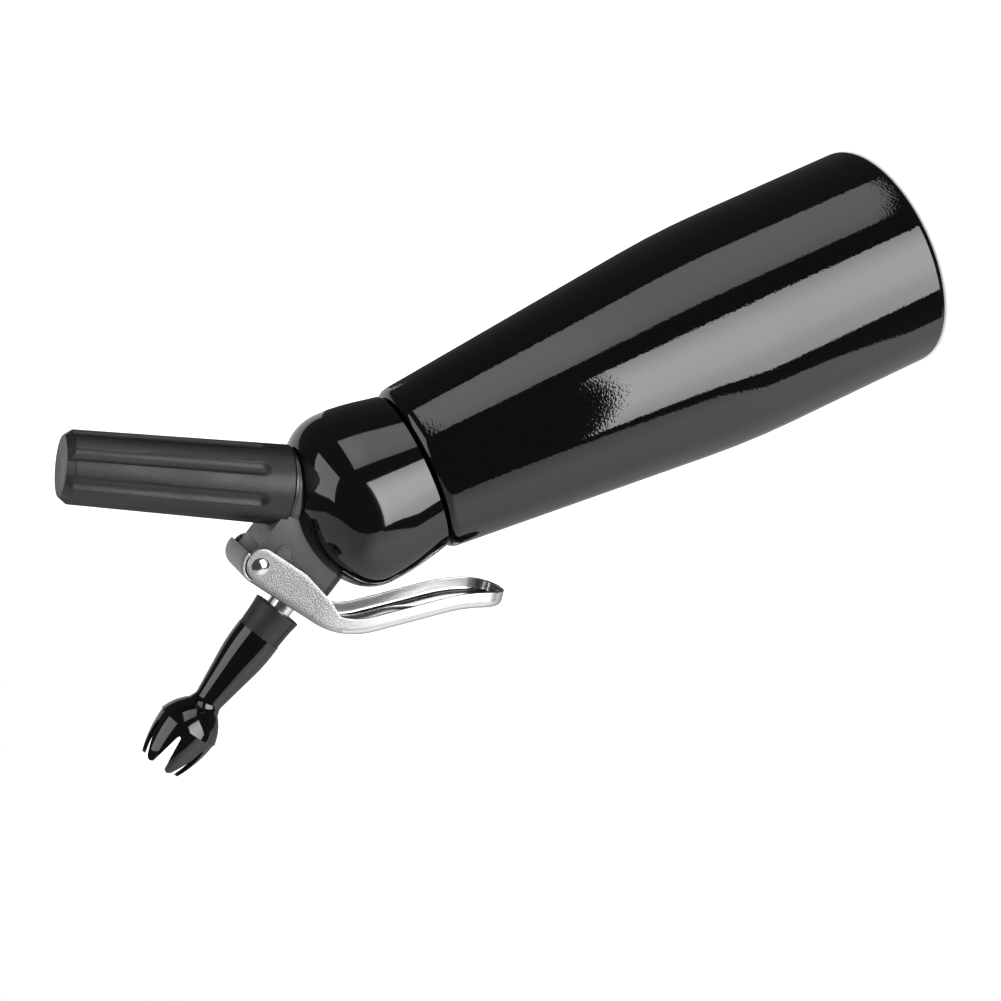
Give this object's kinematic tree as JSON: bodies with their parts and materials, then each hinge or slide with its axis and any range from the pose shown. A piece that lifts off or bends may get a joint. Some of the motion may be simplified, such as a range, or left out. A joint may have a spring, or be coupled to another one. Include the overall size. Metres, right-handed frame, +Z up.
{
  "type": "whipped cream dispenser",
  "caption": "Tapered metal bottle with a screwed plastic head, a slanted fluted charger holder, a lever-worked valve and a tulip-shaped pronged nozzle.",
  "frame": {"origin": "centre of the bottle's foot, on the surface it stands on", "axes": "+Z up the bottle's axis, +X towards the charger holder, -X towards the nozzle and lever, XZ is the plane of symmetry"},
  "size_m": [0.1199, 0.08, 0.3051],
  "materials": {
    "bottle_enamel": "gloss black enamel",
    "head_plastic": "gloss black",
    "holder_plastic": "fine matte black",
    "nozzle_plastic": "gloss black body, matte collar",
    "lever_steel": "tumbled satin, polished inside the handle",
    "pin_steel": "bright",
    "port_metal": "bright nickel plate",
    "inner_steel": "turned",
    "insert_metal": "turned",
    "charger_steel": "zinc grey",
    "seal_rubber": "soft black",
    "gasket_rubber": "soft red silicone"
  },
  "bodies": {
    "bottle": {"bottle": "bottle_enamel"},
    "head": {"head_shell": "head_plastic", "head_gasket": "gasket_rubber", "charger_port": "port_metal", "check_valve": "seal_rubber", "piercing_pin": "inner_steel", "port_seal": "seal_rubber", "valve_guide": "inner_steel", "guide_ring": "seal_rubber", "valve_spring": "inner_steel"},
    "lever": {"lever": "lever_steel", "lever_pin": "pin_steel"},
    "stem": {"valve_stem": "inner_steel", "stem_collar": "inner_steel", "stem_ring": "seal_rubber", "poppet_seal": "seal_rubber"},
    "nozzle": {"nozzle": "nozzle_plastic"},
    "charger": {"charger": "charger_steel", "charger_cap": "charger_steel"},
    "holder": {"charger_holder": "holder_plastic", "holder_insert": "insert_metal"}
  },
  "joints": [
    {"name": "head_off", "type": "slide", "parent": "bottle", "child": "head", "axis": [0, 0, 1], "range_m": [0, 0.03]},
    {"name": "lever_hinge", "type": "hinge", "parent": "head", "child": "lever", "pos_m": [-0.004, 0, 0.24818], "axis": [0, -1, 0], "range_deg": [0, 7.5], "stiffness_Nm_per_rad": 1.2, "springref_deg": -4.58},
    {"name": "valve_slide", "type": "slide", "parent": "head", "child": "stem", "axis": [0.4939, 0, -0.8695], "range_m": [0, 0.0033], "deforming": ["valve_spring"]},
    {"name": "nozzle_off", "type": "slide", "parent": "stem", "child": "nozzle", "axis": [-0.4939, 0, 0.8695], "range_m": [0, 0.02]},
    {"name": "charger_out", "type": "slide", "parent": "head", "child": "charger", "axis": [0.4939, 0, 0.8695], "range_m": [0, 0.05]},
    {"name": "holder_off", "type": "slide", "parent": "charger", "child": "holder", "axis": [0.4939, 0, 0.8695], "range_m": [0, 0.075]}
  ],
  "couplings": [
    {"joint": "valve_slide", "follows": "lever_hinge", "m_per_rad": 0.02487}
  ]
}
